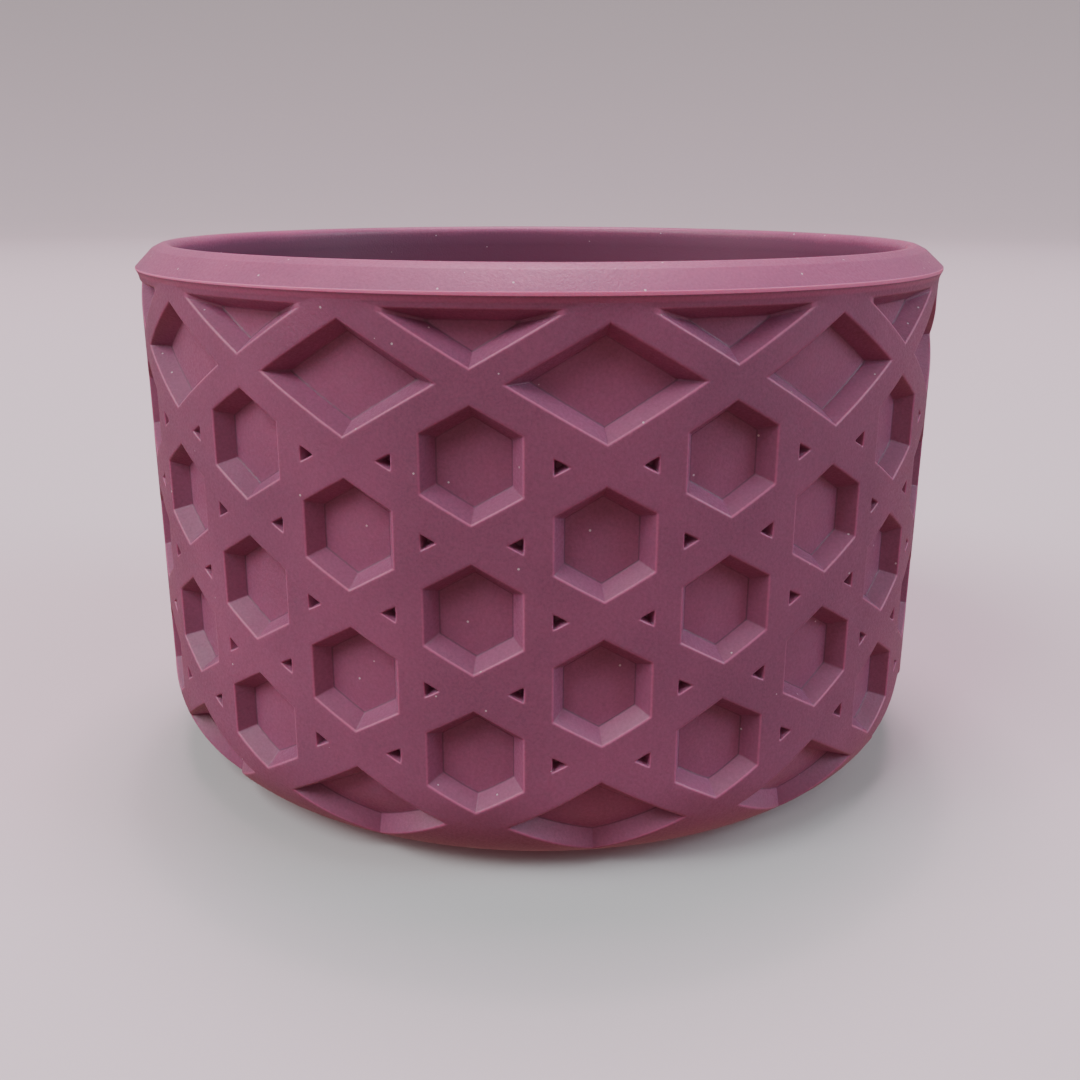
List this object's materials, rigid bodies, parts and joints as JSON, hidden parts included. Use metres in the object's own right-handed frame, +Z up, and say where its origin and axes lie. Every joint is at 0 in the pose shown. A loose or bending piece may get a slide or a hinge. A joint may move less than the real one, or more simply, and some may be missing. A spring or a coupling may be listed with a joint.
{
  "type": "silicone bottle boot",
  "caption": "Round flexible silicone boot: an open cup with a bevelled rim and a woven-cane lattice in relief, pulled over the base of a bottle or tumbler to cushion it.",
  "frame": {"origin": "middle of the flat underside", "axes": "+Z up out of the mouth, -Y towards the viewer, +X to the viewer's right"},
  "size_m": [0.0848, 0.0848, 0.0543],
  "materials": {
    "plum_silicone": "matte fine-grained silicone, dusky plum, with a soft sheen"
  },
  "bodies": {
    "root": {"rim_lip": "plum_silicone", "lattice_sleeve": "plum_silicone", "liner_wall": "plum_silicone", "shoulder_ring": "plum_silicone", "floor_disc": "plum_silicone"}
  },
  "joints": []
}
